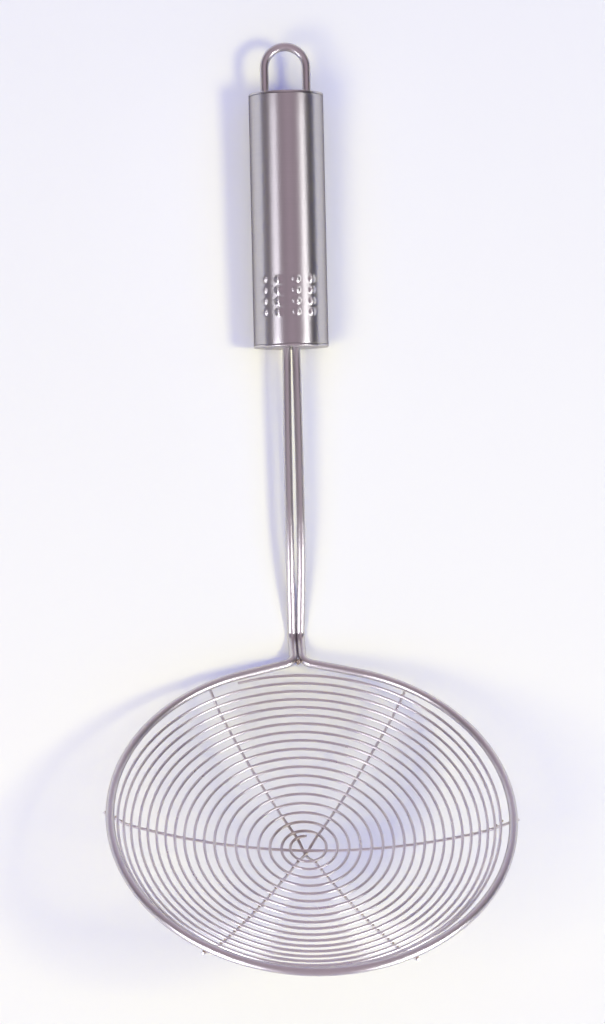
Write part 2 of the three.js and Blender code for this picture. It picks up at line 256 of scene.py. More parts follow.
# Paths of the wires, in the frame of the rim: its middle at the origin, +Y to the neck, +Z out of the dish

class RimPlan:
    """Places on the frame wire that follow from its sizes."""

    def __init__(self, sizes):
        self.sizes = sizes
        self.radius = (sizes.rim_diameter - sizes.wire) / 2
        apart = (sizes.wire + FIT) / 2
        self.offset = (sizes.wire + NECK_GAP) / 2
        self.spread = apart - self.offset + sizes.leg_spread
        droop = sizes.rim_droop
        self.tangent = Vector((self.radius * math.sin(droop), self.radius * math.cos(droop), 0))
        corner_y = self.tangent.y + (self.tangent.x - apart) * math.tan(droop)
        self.corner = Vector((self.offset, corner_y, 0))
        self.foot = Vector((self.offset, corner_y + sizes.neck_length, 0))
        rise = sizes.shank_angle
        self.along = Vector((0, math.cos(rise), math.sin(rise)))
        self.up = Vector((0, -math.sin(rise), math.cos(rise)))
        arch = sizes.shank_arch
        self.arch_start = sizes.arch_foot * math.cos(arch)
        self.arch_end = self.arch_start + sizes.arch_radius * math.sin(arch)
        self.arch_rise = sizes.arch_foot * math.sin(arch) + sizes.arch_radius * (1 - math.cos(arch))
        self.handle_start = Vector((0, self.foot.y, 0)) + self.arch_rise * self.up

    def leg(self, distance):
        """Middle of the right leg at a distance along the handle's axis from beside the foot."""
        sizes = self.sizes
        if distance < self.arch_start:
            drop = self.arch_rise - distance * math.tan(sizes.shank_arch)
        else:
            left = max(self.arch_end - distance, 0)
            drop = sizes.arch_radius - math.sqrt(sizes.arch_radius ** 2 - left ** 2)
        part = min(distance / sizes.shank_length, 1)
        spread = self.spread * part + sizes.leg_bow * math.sin(math.pi * part ** BOW_SKEW)
        place = self.handle_start + distance * self.along - drop * self.up
        place.x = self.offset + spread
        return place

    def place(self):
        """Turns a place in the frame of the rim to one on the table."""
        sizes = self.sizes
        return Matrix.Translation(sizes.rim_centre) @ Matrix.Rotation(sizes.rim_tilt, 4, "X")

    def handle_place(self):
        """Turns a place along the handle, with +Y up the tube, to one on the table."""
        turned = Matrix.Rotation(self.sizes.shank_angle, 4, "X")
        return self.place() @ Matrix.Translation(self.handle_start) @ turned


class DishPlan:
    """The dish: a shallow floor arc that turns up into a tighter corner arc beside the rim."""

    def __init__(self, sizes, rim):
        self.sizes = sizes
        self.rim = rim
        self.step = sizes.wire + FIT
        self.under_rim = (rim.sizes.wire + sizes.wire) / 2 + FIT
        lip = rim.radius - (rim.sizes.wire + sizes.wire) / 2 - sizes.lip_gap
        corner = sizes.corner_radius
        self.corner_out = lip - corner * math.sin(sizes.lip_slope)
        self.corner_up = corner * math.cos(sizes.lip_slope) - sizes.lip_drop
        rise = self.corner_up + sizes.depth
        self.floor_radius = (self.corner_out ** 2 + rise ** 2 - corner ** 2) / (2 * (rise - corner))
        self.floor_slope = math.atan2(self.corner_out, self.floor_radius - rise)
        self.floor_length = self.floor_radius * self.floor_slope
        self.length = self.floor_length + corner * (sizes.lip_slope - self.floor_slope)

    def point(self, slope, below=0.0):
        """Distance from the middle and height where the dish, or a layer below it, has this slope."""
        if slope < self.floor_slope:
            radius = self.floor_radius + below
            return radius * math.sin(slope), self.floor_radius - self.sizes.depth - radius * math.cos(slope)
        radius = self.sizes.corner_radius + below
        return self.corner_out + radius * math.sin(slope), self.corner_up - radius * math.cos(slope)

    def slope(self, distance):
        """Slope of the dish at a distance along it from the middle."""
        if distance < self.floor_length:
            return distance / self.floor_radius
        return self.floor_slope + (distance - self.floor_length) / self.sizes.corner_radius

    def wound(self, turn):
        """Heading and slope of the spiral after a number of turns."""
        sizes = self.sizes
        first = (self.length - sizes.root) / (sizes.turns * (1 + sizes.taper) / 2)
        winding = sizes.root + first * (turn - (1 - sizes.taper) * turn ** 2 / (2 * sizes.turns))
        distance = (winding ** EYE_BLEND + sizes.eye ** EYE_BLEND) ** (1 / EYE_BLEND)
        return math.pi / 2 + 2 * math.pi * turn, self.slope(distance)

    def reach(self, heading):
        """From the mesh's middle to the middle of the rim wire, and the slope at which a cross wire leaves."""
        sizes = self.sizes
        off = sizes.shift * math.cos(heading + sizes.turn)
        reach = math.sqrt(self.rim.radius ** 2 - sizes.shift ** 2 + off ** 2) - off
        run, fall = reach - self.corner_out, -self.corner_up
        turn_in = math.acos((sizes.corner_radius + self.step - self.under_rim) / math.hypot(run, fall))
        return reach, math.pi / 2 + math.atan2(fall, run) - turn_in

    def place(self):
        """Turns a place in the frame of the mesh to one on the table."""
        shifted = Matrix.Translation((self.sizes.shift, 0, 0))
        return self.rim.place() @ shifted @ Matrix.Rotation(self.sizes.turn, 4, "Z")


def around(heading, radius, height):
    """Place at a heading and a distance from the middle."""
    return Vector((radius * math.cos(heading), radius * math.sin(heading), height))


def bend(before, corner, after, radius):
    """Stations of a round bend that replaces a corner."""
    back = (before - corner).normalized()
    ahead = (after - corner).normalized()
    half = back.angle(ahead) / 2
    centre = corner + (back + ahead).normalized() * (radius / math.sin(half))
    start = corner + back * (radius / math.tan(half)) - centre
    axis = ahead.cross(back).normalized()
    sweep = math.pi - 2 * half
    return [centre + Matrix.Rotation(sweep * i / BEND_STEPS, 3, axis) @ start for i in range(BEND_STEPS + 1)]


def frame_path(rim):
    """The whole frame wire, from the end of the right leg round the rim to the end of the left one."""
    sizes = rim.sizes
    steps = round((sizes.shank_length + sizes.leg_tail - rim.arch_start) / LEG_STEP)
    far = sizes.shank_length + sizes.leg_tail
    right = [rim.leg(far + (rim.arch_start - far) * i / steps) for i in range(steps + 1)]
    right += bend(right[-1], rim.foot, rim.corner, sizes.shank_bend)
    right += bend(rim.foot, rim.corner, rim.tangent, sizes.neck_bend)
    sweep = math.pi - sizes.rim_droop
    for i in range(RIM_STEPS + 1):
        heading = math.pi / 2 - sizes.rim_droop - sweep * i / RIM_STEPS
        right.append(around(heading, rim.radius, 0))
    left = [Vector((-p.x, p.y, p.z)) for p in reversed(right[:-1])]
    return right + left


def spiral_path(dish):
    """The spiral, from its eye out to the rim."""
    steps = round(dish.sizes.turns * SPIRAL_STEPS)
    path = []
    for i in range(steps + 1):
        heading, slope = dish.wound(dish.sizes.turns * i / steps)
        path.append(around(heading, *dish.point(slope)))
    return path


def cross_half(dish, heading, duck):
    """Half of a cross wire, from the hub along the underside of the spiral and then straight under the rim."""
    sizes = dish.sizes
    reach, leave = dish.reach(heading)
    hub_slope = math.asin(sizes.hub_reach / (dish.floor_radius + dish.step))
    path = []
    for i in range(BEND_STEPS):
        radius, height = dish.point(hub_slope * i / BEND_STEPS, dish.step)
        path.append((radius, height - duck * (1 + math.cos(math.pi * i / BEND_STEPS)) / 2))
    for i in range(2 * BEND_STEPS):
        path.append(dish.point(hub_slope + (dish.floor_slope - hub_slope) * i / (2 * BEND_STEPS), dish.step))
    for i in range(BEND_STEPS + 1):
        path.append(dish.point(dish.floor_slope + (leave - dish.floor_slope) * i / BEND_STEPS, dish.step))
    beyond = dish.rim.sizes.wire / 2 + sizes.stub
    path.append((reach + beyond, (beyond * math.sin(leave) - dish.under_rim) / math.cos(leave)))
    return [around(heading, *point) for point in path]


def cross_path(dish, index):
    """A whole cross wire, which ducks under those before it at the hub."""
    heading = math.pi * index / CROSS_WIRES
    duck = index * dish.step
    return cross_half(dish, heading + math.pi, duck)[:0:-1] + cross_half(dish, heading, duck)


def loop_path(rim, sizes):
    """The hanging loop, along the handle."""
    radius = (sizes.loop_width - sizes.loop_wire) / 2
    face = rim.sizes.shank_length + sizes.length
    spring = face + sizes.loop_height - sizes.loop_width / 2
    arc = [Vector((radius * math.cos(a), spring + radius * math.sin(a), 0))
           for a in (math.pi * i / (3 * BEND_STEPS) for i in range(3 * BEND_STEPS + 1))]
    return [Vector((radius, face - sizes.loop_tail, 0))] + arc + [Vector((-radius, face - sizes.loop_tail, 0))]


# Shaping

def cut_end(tip, inside, radius):
    """Stations of a cut end of a wire, eased as a file leaves it."""
    inward = (inside - tip).normalized()
    return [tip + inward * radius * part for part in END_PLACES]


def wire_mesh(name, path, place, diameter, sides):
    """Round wire drawn along a path."""
    radius = diameter / 2
    stations = [place @ point for point in path]
    first = cut_end(stations[0], stations[1], radius)
    last = cut_end(stations[-1], stations[-2], radius)
    stations = first + stations[1:-1] + last[::-1]
    widths = [*END_WIDTHS, *[1.0] * (len(path) - 2), *END_WIDTHS[::-1]]
    line = bpy.data.curves.new(name, "CURVE")
    line.dimensions = "3D"
    line.bevel_depth = radius
    line.bevel_resolution = sides // 2 - 2
    line.use_fill_caps = True
    run = line.splines.new("POLY")
    run.points.add(len(stations) - 1)
    for point, station, width in zip(run.points, stations, widths):
        point.co = station.to_4d()
        point.radius = width
    return baked(bpy.data.objects.new(name, line))


def baked(shape):
    """Mesh of a finished curve or of an object with its modifiers, which is then removed."""
    bpy.context.scene.collection.objects.link(shape)
    data = shape.data
    mesh = bpy.data.meshes.new_from_object(shape.evaluated_get(bpy.context.evaluated_depsgraph_get()))
    bpy.data.objects.remove(shape)
    (bpy.data.curves if isinstance(data, bpy.types.Curve) else bpy.data.meshes).remove(data)
    return mesh


def turned(profile, sides):
    """Shape turned round the handle's axis from a closed row of (radius, distance) corners."""
    shape = bmesh.new()
    corners = [shape.verts.new((radius, distance, 0)) for radius, distance in profile]
    rows = [shape.edges.new(pair) for pair in zip(corners, corners[1:] + corners[:1])]
    bmesh.ops.spin(
        shape, geom=corners + rows, cent=(0, 0, 0), axis=(0, 1, 0), dvec=(0, 0, 0),
        angle=2 * math.pi, steps=sides, use_merge=True,
    )
    bmesh.ops.remove_doubles(shape, verts=shape.verts, dist=0.001 * MM)
    bmesh.ops.recalc_face_normals(shape, faces=shape.faces)
    return shape


def rounded_rings(shape, radius, distances, offset):
    """Rounds the edges that run round a turned shape at this radius and these distances."""
    rings = [
        e for e in shape.edges
        if all(abs(math.hypot(v.co.x, v.co.z) - radius) < NEAR for v in e.verts)
        and any(all(abs(v.co.y - d) < NEAR for v in e.verts) for d in distances)
    ]
    if not rings:
        raise RuntimeError("the turned shape has no edge to round there")
    bmesh.ops.bevel(
        shape, geom=rings, offset=offset, offset_type="OFFSET", affect="EDGES", segments=4, profile=0.5, material=-1
    )


def lengthwise_uv(shape):
    """Lays a UV map on a turned shape, with U along the handle and V round it."""
    layer = shape.loops.layers.uv.new("UVMap")
    for face in shape.faces:
        middle = face.calc_center_median()
        facing = math.atan2(middle.x, middle.z)
        for loop in face.loops:
            x, y, z = loop.vert.co
            heading = math.atan2(x, z)
            heading -= 2 * math.pi * round((heading - facing) / (2 * math.pi))
            loop[layer].uv = ((y - math.hypot(x, z)) / UV_LENGTH, heading / (2 * math.pi) + 0.5)


def finished(shape, name, place):
    """Puts a bmesh in its place and makes it a mesh."""
    bmesh.ops.transform(shape, matrix=place, verts=shape.verts)
    mesh = bpy.data.meshes.new(name)
    shape.to_mesh(mesh)
    shape.free()
    return mesh


def add_piece(name, mesh, material, slot, *nodes):
    """Adds a finished mesh as a piece of the skimmer that stands for CAD nodes."""
    if not mesh.polygons:
        raise RuntimeError(f"{name} has no faces")
    mesh.shade_smooth()
    mesh.set_sharp_from_angle(angle=SHARP_ANGLE)
    mesh.materials.clear()
    mesh.materials.append(material)
    piece = bpy.data.objects.new(name, mesh)
    bpy.context.scene.collection.objects.link(piece)
    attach(piece, STEEL_BODY)
    if nodes:
        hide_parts(*nodes)


# Finishes

def add(tree, kind, settings, links=()):
    """Adds a node, sets its options and sockets, and links outputs of other nodes to its sockets."""
    node = tree.nodes.new(kind)
    for name, value in settings.items():
        if isinstance(name, int) or name in node.inputs:
            node.inputs[name].default_value = value
        else:
            setattr(node, name, value)
    for socket, output in links:
        tree.links.new(output, node.inputs[socket])
    return node


def made_of(dress, *facts):
    """The material that a function dresses and is named for, made when a piece first asks for it."""
    found = bpy.data.materials.get(dress.__name__)
    if found:
        return found
    material = bpy.data.materials.new(dress.__name__)
    material.use_nodes = True
    tree = material.node_tree
    tree.nodes.clear()
    shader = add(tree, "ShaderNodeBsdfPrincipled", {})
    add(tree, "ShaderNodeOutputMaterial", {}, [("Surface", shader.outputs["BSDF"])])
    dress(tree, shader, *facts)
    return material


def bare_steel(tree, shader, edge=STEEL_EDGE):
    """Makes a shader bare steel and gives the places on the piece, for its patterns."""
    shader.inputs["Metallic"].default_value = 1.0
    shader.inputs["Specular Tint"].default_value = edge
    return add(tree, "ShaderNodeTexCoord", {}).outputs["Object"]


def drawn_out(tree, shader, amount, turn):
    """Draws the shine out by the piece's UV map, turned by a part of a full turn."""
    shader.inputs["Anisotropic"].default_value = amount
    shader.inputs["Anisotropic Rotation"].default_value = turn
    grain = add(tree, "ShaderNodeTangent", {"direction_type": "UV_MAP", "uv_map": "UVMap"})
    tree.links.new(grain.outputs["Tangent"], shader.inputs["Tangent"])


def uneven(tree, shader, pattern, gloss, tone, other):
    """Lets a pattern change the roughness between two values, and gives its mix of two tones."""
    rough = add(tree, "ShaderNodeMapRange",
                {"From Min": 0.3, "From Max": 0.7, "To Min": gloss[0], "To Max": gloss[1]},
                [("Value", pattern)])
    tree.links.new(rough.outputs["Result"], shader.inputs["Roughness"])
    mix = add(tree, "ShaderNodeMix", {"data_type": "RGBA", 6: tone, 7: other}, [("Factor", pattern)])
    return mix.outputs[2]


def darker(tone, part):
    """A tone dimmed to a part of its light."""
    return [c * part for c in tone[:3]] + [1.0]


def polished_stainless_wire(tree, shader, colours):
    """Stainless wire, drawn and tumbled bright: soft-edged streaks, a little wider across the wire than along it."""
    places = bare_steel(tree, shader)
    drawn_out(tree, shader, 0.3, 0.25)
    # Handling clouds about 7 mm wide
    cloud = add(tree, "ShaderNodeTexNoise", {"Scale": 1 / (7 * MM), "Detail": 3.0, "Roughness": 0.6},
                [("Vector", places)])
    steel = colours.frame_wire
    tone = uneven(tree, shader, cloud.outputs["Fac"], (0.31, 0.37), steel, darker(steel, 0.86))
    tree.links.new(tone, shader.inputs["Base Color"])


def drawn_stainless_mesh_wire(tree, shader, colours, hub):
    """Thin stainless wire, drawn bright: long streaks of light, and a brown tint painted to one side of the hub."""
    places = bare_steel(tree, shader)
    drawn_out(tree, shader, 0.85, 0.25)
    # Tone changes over about 9 mm of wire
    cloud = add(tree, "ShaderNodeTexNoise", {"Scale": 1 / (9 * MM), "Detail": 3.0, "Roughness": 0.6},
                [("Vector", places)])
    steel = colours.mesh_wire
    tone = uneven(tree, shader, cloud.outputs["Fac"], (0.27, 0.34), steel, darker(steel, 0.8))
    away = add(tree, "ShaderNodeVectorMath", {"operation": "DISTANCE", 1: hub}, [(0, places)])
    # The brown tint painted beside the hub fades between 3 and 15 mm from its middle
    tint = add(tree, "ShaderNodeMapRange",
               {"interpolation_type": "SMOOTHSTEP", "From Min": 3 * MM, "From Max": 15 * MM,
                "To Min": 0.75, "To Max": 0.0},
               [("Value", away.outputs["Value"])])
    tinted = add(tree, "ShaderNodeMath", {"operation": "MULTIPLY"},
                 [(0, tint.outputs["Result"]), (1, cloud.outputs["Fac"])])
    hub_browned = add(tree, "ShaderNodeMix", {"data_type": "RGBA", 7: colours.hub_brown_tint},
                 [("Factor", tinted.outputs["Value"]), (6, tone)])
    tree.links.new(hub_browned.outputs[2], shader.inputs["Base Color"])


def satin_stainless_tube(tree, shader, colours, lie):
    """Stainless tube, polished round and round: light stays in narrow bands that run along the whole tube."""
    places = bare_steel(tree, shader, SATIN_EDGE)
    drawn_out(tree, shader, 0.97, 0.0)
    # Polishing lines round the tube are under 0.1 mm wide, drawn at 0.35 mm so that they show
    lines = add(tree, "ShaderNodeMapping",
                {"Rotation": (-lie, 0, 0), "Scale": (1 / (18 * MM), 1 / (0.35 * MM), 1 / (18 * MM))},
                [("Vector", places)])
    polish = add(tree, "ShaderNodeTexNoise", {"Scale": 1.0, "Detail": 3.0, "Roughness": 0.65},
                 [("Vector", lines.outputs["Vector"])])
    steel = colours.tube
    tone = uneven(tree, shader, polish.outputs["Fac"], (0.37, 0.43), steel, darker(steel, 0.93))
    tree.links.new(tone, shader.inputs["Base Color"])


def satin_stainless_disc(tree, shader, colours):
    """Stainless disc, pressed and finely blasted: an even, slightly cloudy shine."""
    places = bare_steel(tree, shader)
    # Blast grain is about 0.1 mm, drawn at 0.3 mm so that it shows
    grain = add(tree, "ShaderNodeTexNoise", {"Scale": 1 / (0.3 * MM), "Detail": 2.0}, [("Vector", places)])
    steel = colours.cap
    tone = uneven(tree, shader, grain.outputs["Fac"], (0.26, 0.36), steel, darker(steel, 0.9))
    tree.links.new(tone, shader.inputs["Base Color"])
    relief = add(tree, "ShaderNodeBump", {"Strength": 0.2, "Distance": 0.006 * MM},
                 [("Height", grain.outputs["Fac"])])
    tree.links.new(relief.outputs["Normal"], shader.inputs["Normal"])


def heat_tinted_weld_steel(tree, shader, colours):
    """Weld metal left as it set: pale and ropy, with brown heat tint mixed through it in ripples."""
    places = bare_steel(tree, shader)
    # Ripples about 0.6 mm apart
    ripple = add(tree, "ShaderNodeTexNoise", {"Scale": 1 / (0.6 * MM), "Detail": 3.0, "Roughness": 0.6},
                 [("Vector", places)])
    tone = uneven(tree, shader, ripple.outputs["Fac"], (0.32, 0.55), colours.weld, colours.weld_tint)
    tree.links.new(tone, shader.inputs["Base Color"])
    relief = add(tree, "ShaderNodeBump", {"Strength": 0.5, "Distance": 0.05 * MM},
                 [("Height", ripple.outputs["Fac"])])
    tree.links.new(relief.outputs["Normal"], shader.inputs["Normal"])


def matte_white_table(tree, shader, colours):
    """Matte white table top: soft, even and without gloss."""
    shader.inputs["Roughness"].default_value = 0.95
    shader.inputs["Specular IOR Level"].default_value = 0.1
    places = add(tree, "ShaderNodeTexCoord", {}).outputs["Object"]
    # Faint unevenness over about 120 mm
    cloud = add(tree, "ShaderNodeTexNoise", {"Scale": 1 / (120 * MM), "Detail": 2.0}, [("Vector", places)])
    tone = add(tree, "ShaderNodeMix",
               {"data_type": "RGBA", 6: colours.table, 7: darker(colours.table, 0.985)},
               [("Factor", cloud.outputs["Fac"])])
    tree.links.new(tone.outputs[2], shader.inputs["Base Color"])


# Pieces

class SKIMMER_OT_frame_wire(bpy.types.Operator):
    """Bend the thick wire into the rim, the neck and the two legs of the shank"""

    bl_idname = "skimmer.frame_wire"
    bl_label = "Frame Wire"

    def execute(self, context):
        scene = context.scene
        rim = RimPlan(scene.skimmer_frame)
        mesh = wire_mesh("bent_frame_wire", frame_path(rim), rim.place(), scene.skimmer_frame.wire, THICK_SIDES)
        finish = made_of(polished_stainless_wire, scene.skimmer_finishes)
        add_piece("bent_frame_wire", mesh, finish, "frame_wire", "frame_wire")
        return {"FINISHED"}


class SKIMMER_OT_neck_weld(bpy.types.Operator):
    """Set the weld bead in the fork of the neck"""

    bl_idname = "skimmer.neck_weld"
    bl_label = "Neck Weld"

    def execute(self, context):
        scene = context.scene
        rim = RimPlan(scene.skimmer_frame)
        sizes = rim.sizes
        bend_out = rim.offset + sizes.neck_bend
        bend_start = rim.corner.y + sizes.neck_bend * math.tan((math.pi / 2 - sizes.rim_droop) / 2)
        clear = sizes.neck_bend + sizes.wire / 2 + FIT + BEAD_SEAT
        middle = Vector((0, bend_start - math.sqrt(clear ** 2 - bend_out ** 2), 0))
        bead = bmesh.new()
        bmesh.ops.create_icosphere(bead, subdivisions=4, radius=1)
        for vert in bead.verts:
            swell = 1 + 0.12 * noise.noise(vert.co * 2.2)
            vert.co = vert.co * Vector(NECK_BEAD) * swell
        place = rim.place() @ Matrix.Translation(middle)
        mesh = finished(bead, "neck_weld_bead", place)
        finish = made_of(heat_tinted_weld_steel, scene.skimmer_finishes)
        add_piece("neck_weld_bead", mesh, finish, "weld", "neck_weld")
        return {"FINISHED"}


def hub_place(dish):
    """Middle of the brown tint painted beside the hub, on the table."""
    return dish.place() @ Vector((-4 * MM, 5 * MM, -dish.sizes.depth))


class SKIMMER_OT_spiral_wire(bpy.types.Operator):
    """Wind the spiral of thin wire that makes the dish"""

    bl_idname = "skimmer.spiral_wire"
    bl_label = "Spiral Wire"

    def execute(self, context):
        scene = context.scene
        dish = DishPlan(scene.skimmer_mesh, RimPlan(scene.skimmer_frame))
        mesh = wire_mesh("wound_spiral_wire", spiral_path(dish), dish.place(), dish.sizes.wire, THIN_SIDES)
        finish = made_of(drawn_stainless_mesh_wire, scene.skimmer_finishes, hub_place(dish))
        add_piece("wound_spiral_wire", mesh, finish, "mesh_wire", "spiral_wire")
        return {"FINISHED"}


class SKIMMER_OT_cross_wires(bpy.types.Operator):
    """Lay the three cross wires under the spiral and the rim"""

    bl_idname = "skimmer.cross_wires"
    bl_label = "Cross Wires"

    def execute(self, context):
        scene = context.scene
        dish = DishPlan(scene.skimmer_mesh, RimPlan(scene.skimmer_frame))
        finish = made_of(drawn_stainless_mesh_wire, scene.skimmer_finishes, hub_place(dish))
        for index in range(CROSS_WIRES):
            name = f"laid_cross_wire_{index + 1}"
            mesh = wire_mesh(name, cross_path(dish, index), dish.place(), dish.sizes.wire, THIN_SIDES)
            add_piece(name, mesh, finish, "mesh_wire", f"cross_wire_{index + 1}")
        return {"FINISHED"}


class SKIMMER_OT_spot_welds(bpy.types.Operator):
    """Set a spot weld at each crossing of the spiral and at each end of the cross wires"""

    bl_idname = "skimmer.spot_welds"
    bl_label = "Spot Welds"

    def execute(self, context):
        scene = context.scene
        dish = DishPlan(scene.skimmer_mesh, RimPlan(scene.skimmer_frame))
        spots = bmesh.new()
        for half in range(2 * CROSS_WIRES):
            heading = math.pi * half / CROSS_WIRES
            turn = (heading - math.pi / 2) / (2 * math.pi) % 1
            while turn < dish.sizes.turns:
                slope = dish.wound(turn)[1]
                self.spot(spots, heading, slope, dish.point(slope, dish.step / 2), MESH_SPOT)
                turn += 1
            reach, leave = dish.reach(heading)
            under = (dish.rim.sizes.wire + FIT) / 2
            seat = (reach + under * math.sin(leave), -under * math.cos(leave))
            self.spot(spots, heading, leave, seat, RIM_SPOT)
        mesh = finished(spots, "mesh_spot_welds", dish.place())
        finish = made_of(heat_tinted_weld_steel, scene.skimmer_finishes)
        add_piece("mesh_spot_welds", mesh, finish, "weld")
        return {"FINISHED"}

    def spot(self, spots, heading, slope, point, half_size):
        """Adds one flattened nugget, square to the dish."""
        turn = Matrix.Rotation(heading, 4, "Z") @ Matrix.Rotation(-slope, 4, "Y")
        place = Matrix.Translation(around(heading, *point)) @ turn @ Matrix.Diagonal((*half_size, 1))
        bmesh.ops.create_icosphere(spots, subdivisions=2, radius=1, matrix=place)


class SKIMMER_OT_handle_tube(bpy.types.Operator):
    """Draw the handle tube and press its grip bumps out"""

    bl_idname = "skimmer.handle_tube"
    bl_label = "Handle Tube"

    def execute(self, context):
        scene = context.scene
        sizes = scene.skimmer_handle
        rim = RimPlan(scene.skimmer_frame)
        face = rim.sizes.shank_length
        start = face + sizes.flange + CAP_SEAM
        end = face + sizes.length - sizes.flange - CAP_SEAM
        outer = sizes.diameter / 2
        inner = outer - sizes.wall
        rows = [face + sizes.bump_first + sizes.bump_pitch * row for row in range(BUMP_ROWS)]
        middle = (BUMP_COLUMNS - 1) / 2
        columns = [sizes.bump_turn + sizes.bump_angle * (column - middle) for column in range(BUMP_COLUMNS)]
        bumps = [(column, row) for row in rows for column in columns]
        margin = 0.6 * sizes.bump_diameter
        patch = (rows[0] - margin, rows[-1] + margin)
        fine = round((patch[1] - patch[0]) / BUMP_STEP)
        stations = [start, start + 3 * MM]
        stations += [patch[0] + (patch[1] - patch[0]) * i / fine for i in range(fine + 1)]
        stations += [patch[1] + (end - patch[1]) * i / TUBE_STEPS for i in range(1, TUBE_STEPS + 1)]
        profile = [(outer, y) for y in stations] + [(inner, end), (inner, start)]
        tube = turned(profile, TUBE_SIDES)
        for vert in tube.verts:
            out = Vector((vert.co.x, 0, vert.co.z))
            if out.length >= outer - NEAR:
                vert.co += out.normalized() * self.lift(sizes, bumps, vert.co)
        rounded_rings(tube, outer, (start, end), TUBE_EDGE)
        lengthwise_uv(tube)
        mesh = finished(tube, "bumped_handle_tube", rim.handle_place())
        lie = rim.sizes.rim_tilt + rim.sizes.shank_angle
        finish = made_of(satin_stainless_tube, scene.skimmer_finishes, lie)
        add_piece("bumped_handle_tube", mesh, finish, "handle_tube", "handle_tube")
        return {"FINISHED"}

    def lift(self, sizes, bumps, place):
        """How far the bumps raise a place on the outside of the tube."""
        heading = math.atan2(place.x, place.z)
        lift = 0.0
        for column, row in bumps:
            across = (heading - column) * sizes.diameter / 2
            away = math.hypot(across, place.y - row) / (sizes.bump_diameter / 2)
            if away < 1:
                lift = max(lift, sizes.bump_height * (1 - away ** 2) ** BUMP_FALL)
        return lift


def cap_blank(sizes):
    """A cap without its holes, with its outer face at the origin and its spigot along +Y."""
    outer = sizes.diameter / 2
    plug = outer - sizes.wall - FIT
    depth = sizes.flange + sizes.spigot
    blank = turned(
        [(0, 0), (outer, 0), (outer, sizes.flange), (plug, sizes.flange), (plug, depth), (0, depth)], CAP_SIDES
    )
    rounded_rings(blank, outer, (0,), sizes.edge)
    # Half a facet of turn keeps the facet edges off the corners of the holes
    half = Matrix.Rotation(math.pi / CAP_SIDES, 3, "Y")
    bmesh.ops.rotate(blank, verts=blank.verts, cent=(0, 0, 0), matrix=half)
    return blank


def slot_cutter(row, radius, depth):
    """Rod that cuts a round hole at a place along X, or a slot where the row has two."""
    cutter = bmesh.new()
    for x in row:
        place = Matrix.Translation((x, depth / 2, 0)) @ Matrix.Rotation(math.pi / 2, 4, "X")
        bmesh.ops.create_cone(
            cutter, cap_ends=True, segments=HOLE_SIDES, radius1=radius, radius2=radius, depth=3 * depth, matrix=place
        )
    if len(row) > 1:
        hull = bmesh.ops.convex_hull(cutter, input=cutter.verts)
        inside = [v for v in hull["geom_interior"] if isinstance(v, bmesh.types.BMVert)]
        bmesh.ops.delete(cutter, geom=inside, context="VERTS")
        outside = {g for g in hull["geom"] if isinstance(g, bmesh.types.BMFace)}
        bmesh.ops.delete(cutter, geom=[f for f in cutter.faces if f not in outside], context="FACES_ONLY")
    bmesh.ops.recalc_face_normals(cutter, faces=cutter.faces)
    return cutter


def pierced(blank, name, holes, radius, depth):
    """Cuts holes and slots through a cap blank, each given as a row of places along X."""
    as_is = Matrix.Identity(4)
    shape = bpy.data.objects.new(name, finished(blank, name, as_is))
    cutters = []
    for row in holes:
        tool = finished(slot_cutter(row, radius, depth), name + "_cutter", as_is)
        holder = bpy.data.objects.new(name + "_cutter", tool)
        bpy.context.scene.collection.objects.link(holder)
        cut = shape.modifiers.new("hole", "BOOLEAN")
        cut.operation = "DIFFERENCE"
        cut.solver = "EXACT"
        cut.object = holder
        cutters.append(holder)
    mesh = baked(shape)
    for holder in cutters:
        tool = holder.data
        bpy.data.objects.remove(holder)
        bpy.data.meshes.remove(tool)
    return mesh


class SKIMMER_OT_end_caps(bpy.types.Operator):
    """Close the handle with its two pierced caps"""

    bl_idname = "skimmer.end_caps"
    bl_label = "End Caps"

    def execute(self, context):
        scene = context.scene
        sizes = scene.skimmer_handle
        rim = RimPlan(scene.skimmer_frame)
        depth = sizes.flange + sizes.spigot
        finish = made_of(satin_stainless_disc, scene.skimmer_finishes)
        leg = rim.leg(rim.sizes.shank_length).x
        lower = pierced(cap_blank(sizes), "pierced_lower_cap", [[-leg, leg]],
                        rim.sizes.wire / 2 + HOLE_ROOM, depth)
        lower.transform(rim.handle_place() @ Matrix.Translation((0, rim.sizes.shank_length, 0)))
        add_piece("pierced_lower_cap", lower, finish, "end_cap", "lower_end_cap")
        stand = (sizes.loop_width - sizes.loop_wire) / 2
        upper = pierced(cap_blank(sizes), "pierced_upper_cap", [[-stand], [stand]],
                        sizes.loop_wire / 2 + HOLE_ROOM, depth)
        top = Matrix.Translation((0, rim.sizes.shank_length + sizes.length, 0))
        upper.transform(rim.handle_place() @ top @ Matrix.Rotation(math.pi, 4, "Z"))
        add_piece("pierced_upper_cap", upper, finish, "end_cap", "upper_end_cap")
        return {"FINISHED"}


class SKIMMER_OT_hanging_loop(bpy.types.Operator):
    """Bend the hanging loop and stand it in the upper cap"""

    bl_idname = "skimmer.hanging_loop"
    bl_label = "Hanging Loop"

    def execute(self, context):
        scene = context.scene
        rim = RimPlan(scene.skimmer_frame)
        sizes = scene.skimmer_handle
        path = loop_path(rim, sizes)
        mesh = wire_mesh("bent_hanging_loop", path, rim.handle_place(), sizes.loop_wire, THICK_SIDES)
        finish = made_of(polished_stainless_wire, scene.skimmer_finishes)
        add_piece("bent_hanging_loop", mesh, finish, "frame_wire", "hanging_loop")
        return {"FINISHED"}


